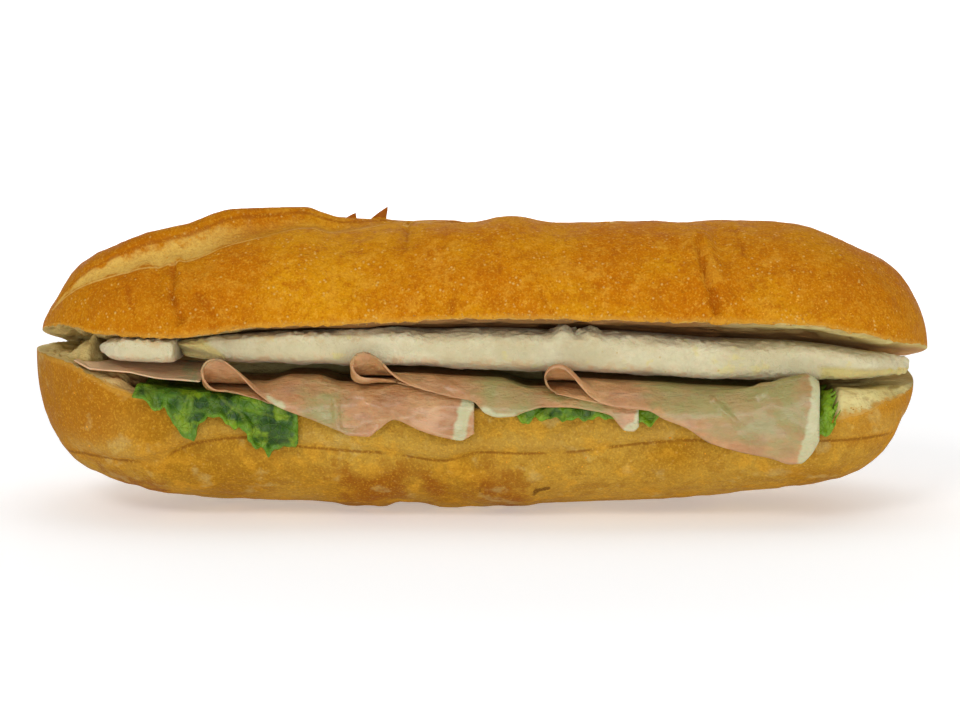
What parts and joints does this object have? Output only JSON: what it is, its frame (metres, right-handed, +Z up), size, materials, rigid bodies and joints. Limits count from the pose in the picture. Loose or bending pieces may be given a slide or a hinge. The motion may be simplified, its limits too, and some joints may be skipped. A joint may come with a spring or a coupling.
{
  "type": "baguette sandwich",
  "caption": "Crusty half-baguette sandwich, cut open along one side and filled with lettuce, folded cured ham and slabs of white-rind cheese.",
  "frame": {"origin": "middle of the flat spot under the roll, on the plane it rests on", "axes": "+X along the roll, towards the end where the right-hand ham slice hangs; -Y out of the mouth; +Z up"},
  "size_m": [0.24, 0.0756, 0.0799],
  "materials": {
    "roll": "baked bread crust, golden brown, dry, with pale crumb on the cut faces",
    "cheese": "soft white-rind cheese, matt",
    "ham": "thin cured ham, slightly moist",
    "lettuce": "fresh green leaf, slightly waxy"
  },
  "bodies": {
    "root": {"roll": "roll", "cheese_long": "cheese", "cheese_short": "cheese", "ham_slice_inner": "ham", "ham_slice_left": "ham", "ham_slice_middle": "ham", "ham_slice_right": "ham", "lettuce_left": "lettuce", "lettuce_middle": "lettuce", "lettuce_right": "lettuce"}
  },
  "joints": []
}
